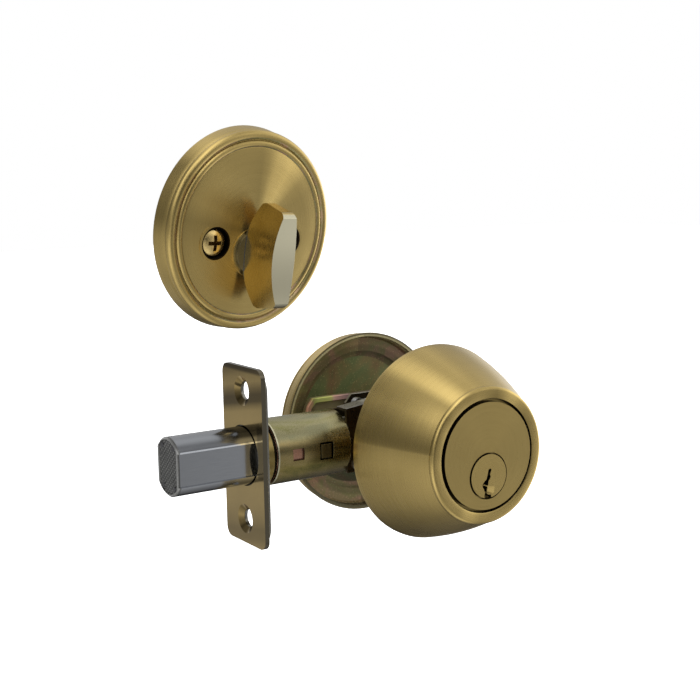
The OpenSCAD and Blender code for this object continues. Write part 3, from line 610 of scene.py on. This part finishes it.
def knurl_cutter():
    """A block whose rear face is a field of small pyramids, trimmed to the bolt's outline less its rim."""
    step, pitch = 0.00015, 0.00118
    ys = np.arange(-0.0064, 0.00641, step)
    zs = np.arange(-0.0088, 0.00881, step)
    Y, Z = np.meshgrid(ys, zs, indexing="ij")
    tri = lambda v: np.abs((v / pitch) % 1.0 - 0.5) * 2.0
    u, v = (0.64 * Y + 0.77 * Z), (-0.64 * Y + 0.77 * Z)
    depth = 0.00018 + 0.00042 * np.maximum(tri(u), tri(v)) ** 1.4
    ny, nz = Y.shape
    near = np.stack([np.full_like(Y, FRONT - 0.001), Y, Z], -1).reshape(-1, 3)
    far = np.stack([FRONT + depth, Y, Z], -1).reshape(-1, 3)
    n = ny * nz
    faces = []
    for i in range(ny - 1):
        for k in range(nz - 1):
            a, b, c, d = i * nz + k, (i + 1) * nz + k, (i + 1) * nz + k + 1, i * nz + k + 1
            faces.append((n + a, n + b, n + c, n + d))
    edge = [k for k in range(nz)] + [i * nz + nz - 1 for i in range(1, ny)] + \
           [(ny - 1) * nz + k for k in range(nz - 2, -1, -1)] + [i * nz for i in range(ny - 2, 0, -1)]
    faces.append(tuple(edge))
    for a, b in zip(edge, edge[1:] + edge[:1]):
        faces.append((b, a, n + a, n + b))
    block = new_object("knurl_block", np.concatenate([near, far]), faces)
    ring = []
    r, w = 0.00853, 0.00612
    top = math.acos(w / r)
    for a in np.linspace(top, math.pi - top, 24):
        ring.append((r * math.cos(a), r * math.sin(a)))
    for a in np.linspace(math.pi + top, 2 * math.pi - top, 24):
        ring.append((r * math.cos(a), r * math.sin(a)))
    k = len(ring)
    verts = [(FRONT - 0.0005, y, z) for y, z in ring] + [(FRONT + 0.003, y, z) for y, z in ring]
    faces = [tuple(range(k))[::-1], tuple(range(k, 2 * k))] + [(i, (i + 1) % k, k + (i + 1) % k, k + i) for i in range(k)]
    prism = new_object("knurl_outline", verts, faces)
    for ob in (block, prism):
        bm = bmesh.new()
        bm.from_mesh(ob.data)
        bmesh.ops.recalc_face_normals(bm, faces=bm.faces)
        bm.to_mesh(ob.data)
        bm.free()
    return use_boolean(block, prism, "INTERSECT")


def knurled_bolt():
    src = NODES["bolt_bar"]
    me = src.data.copy()
    bm = bmesh.new()
    bm.from_mesh(me)
    bmesh.ops.remove_doubles(bm, verts=bm.verts, dist=2e-6)
    bm.to_mesh(me)
    bm.free()
    for name in ("custom_normal",):
        if name in me.attributes:
            me.attributes.remove(me.attributes[name])
    ob = bpy.data.objects.new("bolt_knurled", me)
    scene.collection.objects.link(ob)
    ob.matrix_world = src.matrix_world
    use_boolean(ob, knurl_cutter(), "DIFFERENCE")
    me = ob.data
    bm = bmesh.new()
    bm.from_mesh(me)
    lay = bm.edges.layers.float.new("bevel_weight_edge")
    for e in bm.edges:
        sharp = len(e.link_faces) == 2 and e.calc_face_angle(0.0) > math.radians(28)
        e.smooth = not sharp
        mid = (e.verts[0].co + e.verts[1].co) / 2
        if sharp and (mid.x > FRONT + 0.0007 or mid.x < FRONT + 0.00002):
            e[lay] = 1.0
    for f in bm.faces:
        f.smooth = True
    bm.to_mesh(me)
    bm.free()
    b = ob.modifiers.new("edge", "BEVEL")
    b.width = 0.0002
    b.segments = 2
    b.limit_method = "WEIGHT"
    b.harden_normals = True
    me.materials.clear()
    me.materials.append(M["bolt"].m)
    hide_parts("bolt_bar")
    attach(ob, "bolt")
    return ob


knurled_bolt()

# ------------------------------------------------------------ camera
CAM_POS = Vector((-0.182652 + SEAT, -0.342549, 0.089239))
R0 = Vector((0.835783, -0.548770, -0.017846))
R1 = Vector((0.093751, 0.110607, 0.989433))
R2 = Vector((0.540997, 0.828624, -0.143891))
cam = bpy.data.cameras.new("camera")
cam.sensor_width = 36
cam.lens = 1250 / 700 * 36
cam.clip_start, cam.clip_end = 0.001, 20
cam_obj = bpy.data.objects.new("camera", cam)
scene.collection.objects.link(cam_obj)
rot = Matrix((R0, R1, -R2)).transposed().to_4x4()
cam_obj.matrix_world = Matrix.Translation(CAM_POS) @ rot
scene.camera = cam_obj

# ------------------------------------------------------------ the trim seen from indoors, small, beside the lens
# A copy of the interior trim stands close to the camera, turned as the indoor side is shown above the lock.
INSET_SCALE = 0.2
ia, ie, ir = 0.7357004, 0.3129493, 0.0060594
back = Vector((math.sin(ia) * math.cos(ie), math.cos(ia) * math.cos(ie), math.sin(ie)))
fwd = -back
right = fwd.cross(Vector((0, 0, 1))).normalized()
up = right.cross(fwd)
I0 = math.cos(ir) * right + math.sin(ir) * up
I1 = -math.sin(ir) * right + math.cos(ir) * up
eye = Vector((0.2377860, 0.3169950, 0.0862836))
to_eye = Matrix((I0, I1, fwd)).to_4x4() @ Matrix.Translation(-(eye + Vector((BX, YD, 0))))
from_eye = Matrix.Translation(CAM_POS) @ Matrix((R0, R1, R2)).transposed().to_4x4()
middle = Vector((BX, YD + 0.0035, 0))
grow = Matrix.Translation(middle) @ Matrix.Scale(1.029, 4) @ Matrix.Translation(-middle)
nudge = Matrix.Translation((1.5 / 1250 * 0.402, -1.0 / 1250 * 0.402, 0))
place = from_eye @ Matrix.Scale(INSET_SCALE, 4) @ nudge @ to_eye @ grow
axis = Vector((BX, 0, HZ))
tilt = Matrix.Translation(axis) @ Matrix.Rotation(math.radians(-1.5), 4, "Y") @ Matrix.Translation(-axis)
hub = Vector((BX, 0, 0))
place = place @ Matrix.Translation(hub) @ Matrix.Rotation(math.radians(-6.5), 4, "Y") @ Matrix.Translation(-hub)


def near_copy(node, extra=None):
    src = NODES[node]
    ob = src.copy()
    ob.name = "near_" + node
    ob.data = src.data.copy()
    ob.parent = None
    scene.collection.objects.link(ob)
    ob.matrix_world = place @ extra if extra is not None else place
    mats = []
    for m in ob.data.materials:
        c = m.copy()
        for n in c.node_tree.nodes:
            if n.type == "BUMP":
                n.inputs["Distance"].default_value *= INSET_SCALE
        mats.append(c)
    ob.data.materials.clear()
    for m in mats:
        ob.data.materials.append(m)
    return ob


for node in ("interior_rose", "mounting_screws", "thumb_spindle"):
    ob = near_copy(node)
    if node == "mounting_screws":
        # only the heads: the copy's shanks would stand out behind the trim
        bm = bmesh.new()
        bm.from_mesh(ob.data)
        bmesh.ops.bisect_plane(bm, geom=bm.verts[:] + bm.edges[:] + bm.faces[:], plane_co=(0, YD + 0.001, 0), plane_no=(0, 1, 0), clear_inner=True)
        bm.to_mesh(ob.data)
        bm.free()
near_copy("thumbturn", tilt)

# ------------------------------------------------------------ studio
SKY = {
    # elevation in degrees: brightness every 15 degrees of azimuth from -180 (0 is -Y, 90 is +X)
    -82.5: [0.54, 0.59, 0.67, 0.77, 0.86, 0.93, 0.98, 1.00, 1.03, 1.07, 1.13, 1.21, 1.27, 1.30, 1.29, 1.24, 1.17, 1.09, 0.98, 0.87, 0.75, 0.65, 0.58, 0.54],
    -67.5: [0.11, 0.09, 0.13, 0.28, 0.45, 0.60, 0.88, 1.19, 1.28, 1.13, 0.80, 0.66, 0.87, 1.10, 1.08, 0.88, 0.67, 0.54, 0.44, 0.36, 0.33, 0.32, 0.28, 0.19],
    -52.5: [0.22, 0.30, 0.28, 0.27, 0.36, 0.51, 0.82, 1.10, 1.32, 1.17, 0.41, 0.29, 0.69, 0.83, 0.69, 0.50, 0.18, 0.20, 0.25, 0.19, 0.16, 0.17, 0.09, 0.07],
    -37.5: [0.22, 0.64, 0.60, 0.30, 0.41, 0.39, 0.59, 1.28, 1.86, 1.44, 1.09, 0.65, 0.60, 0.47, 0.24, 0.25, 0.73, 1.00, 1.09, 1.10, 0.13, 0.04, 0.00, 0.02],
    -22.5: [0.21, 0.55, 0.73, 0.60, 0.57, 0.60, 0.46, 1.13, 1.23, 1.27, 1.24, 0.67, 0.22, 0.16, 0.40, 0.50, 1.05, 1.34, 2.27, 2.66, 1.56, 0.30, 0.21, 0.17],
    -7.5: [0.74, 0.28, 0.31, 0.39, 0.59, 0.54, 0.48, 0.51, 0.22, 0.46, 0.83, 0.41, 0.00, 0.23, 0.41, 0.43, 0.48, 1.40, 2.70, 3.67, 2.58, 1.11, 0.55, 0.53],
    7.5: [0.99, 0.51, 0.11, 0.22, 0.16, 0.23, 0.32, 0.35, 0.59, 0.82, 0.52, 0.20, 0.00, 0.03, 0.25, 0.66, 1.25, 1.53, 2.68, 2.35, 1.83, 0.99, 0.38, 0.69],
    22.5: [1.13, 0.51, 0.26, 0.27, 0.23, 0.12, 0.33, 0.75, 1.78, 1.69, 0.48, 0.11, 0.19, 0.50, 0.69, 1.23, 1.06, 1.38, 1.58, 1.42, 0.78, 0.39, 0.52, 0.92],
    37.5: [1.07, 0.69, 0.22, 0.31, 0.28, 0.15, 0.31, 1.28, 2.36, 1.41, 0.55, 1.72, 2.05, 1.02, 1.03, 0.92, 0.81, 1.02, 1.52, 1.20, 0.87, 0.73, 0.70, 1.19],
    52.5: [0.87, 0.63, 0.26, 0.16, 0.10, 0.04, 0.53, 1.86, 2.27, 2.23, 1.93, 2.54, 2.42, 1.23, 0.42, 0.53, 0.69, 0.67, 1.08, 0.99, 0.82, 0.82, 0.68, 0.65],
    67.5: [0.99, 0.99, 1.01, 0.97, 0.87, 0.73, 0.64, 0.79, 1.21, 1.64, 2.04, 2.37, 2.33, 1.99, 1.68, 1.22, 0.72, 0.57, 0.71, 0.90, 0.98, 0.89, 0.82, 0.91],
    82.5: [1.51, 1.46, 1.39, 1.33, 1.30, 1.32, 1.42, 1.57, 1.77, 1.96, 2.11, 2.20, 2.23, 2.21, 2.12, 1.96, 1.74, 1.51, 1.34, 1.26, 1.28, 1.36, 1.45, 1.50],
}
AMBIENT = 0.0
world = bpy.data.worlds.new("studio")
scene.world = world
world.use_nodes = True
wt = world.node_tree
wt.nodes.clear()
w_out = wt.nodes.new("ShaderNodeOutputWorld")
w_bg = wt.nodes.new("ShaderNodeBackground")
w_white = wt.nodes.new("ShaderNodeBackground")
w_white.inputs[0].default_value = (1, 1, 1, 1)
w_white.inputs[1].default_value = 1.0
w_mix = wt.nodes.new("ShaderNodeMixShader")
w_lp = wt.nodes.new("ShaderNodeLightPath")
w_tc = wt.nodes.new("ShaderNodeTexCoord")
wt.links.new(w_lp.outputs["Is Camera Ray"], w_mix.inputs[0])
wt.links.new(w_bg.outputs[0], w_mix.inputs[1])
wt.links.new(w_white.outputs[0], w_mix.inputs[2])
wt.links.new(w_mix.outputs[0], w_out.inputs[0])


def wmath(op, a, b=0.0):
    n = wt.nodes.new("ShaderNodeMath")
    n.operation = op
    for k, v in enumerate((a, b)):
        if isinstance(v, bpy.types.NodeSocket):
            wt.links.new(v, n.inputs[k])
        else:
            n.inputs[k].default_value = v
    return n.outputs[0]


w_sep = wt.nodes.new("ShaderNodeSeparateXYZ")
wt.links.new(w_tc.outputs["Generated"], w_sep.inputs[0])
turn_ = wmath("ADD", wmath("MULTIPLY", wmath("ARCTAN2", w_sep.outputs[0], wmath("MULTIPLY", w_sep.outputs[1], -1.0)), 0.5 / math.pi), 0.5)
rise = wmath("MULTIPLY", wmath("ARCSINE", w_sep.outputs[2]), 180 / math.pi)
PEAK = max(max(row) for row in SKY.values())
total = None
levels = sorted(SKY)
for n_, level in enumerate(levels):
    row = SKY[level]
    ramp = wt.nodes.new("ShaderNodeValToRGB")
    ramp.color_ramp.interpolation = "LINEAR"
    stops = ramp.color_ramp.elements
    while len(stops) < len(row) + 1:
        stops.new(0.5)
    for i, v in enumerate(row + row[:1]):
        stops[i].position = i / len(row)
        stops[i].color = (v / PEAK, v / PEAK, v / PEAK, 1)
    wt.links.new(turn_, ramp.inputs[0])
    # share of this band: 1 at its own elevation, 0 at its neighbours'
    share = wmath("SUBTRACT", 1.0, wmath("MULTIPLY", wmath("ABSOLUTE", wmath("SUBTRACT", rise, level)), 1 / 15))
    if n_ == 0:
        share = wmath("SUBTRACT", 1.0, wmath("MULTIPLY", wmath("SUBTRACT", rise, level), 1 / 15))
    if n_ == len(levels) - 1:
        share = wmath("SUBTRACT", 1.0, wmath("MULTIPLY", wmath("SUBTRACT", level, rise), 1 / 15))
    share = wmath("MINIMUM", wmath("MAXIMUM", share, 0.0), 1.0)
    part = wmath("MULTIPLY", ramp.outputs[0], share)
    total = part if total is None else wmath("ADD", total, part)
total = wmath("ADD", wmath("MULTIPLY", total, PEAK), AMBIENT)
wt.links.new(total, w_bg.inputs["Strength"])
w_bg.inputs[0].default_value = (1, 1, 1, 1)

# floor
bpy.ops.mesh.primitive_plane_add(size=6, location=(0, 0, -0.12))
floor = bpy.context.object
floor.name = "floor"
fm = Mat("floor_white", Roughness=0.9)
fm.b.inputs["Base Color"].default_value = (0.93, 0.93, 0.93, 1)
fm.b.inputs["Emission Color"].default_value = (1, 1, 1, 1)
fm.b.inputs["Emission Strength"].default_value = 1.0
floor.data.materials.append(fm.m)
# the light under the object comes from the studio's surroundings, like the rest
floor.visible_diffuse = floor.visible_glossy = floor.visible_shadow = False
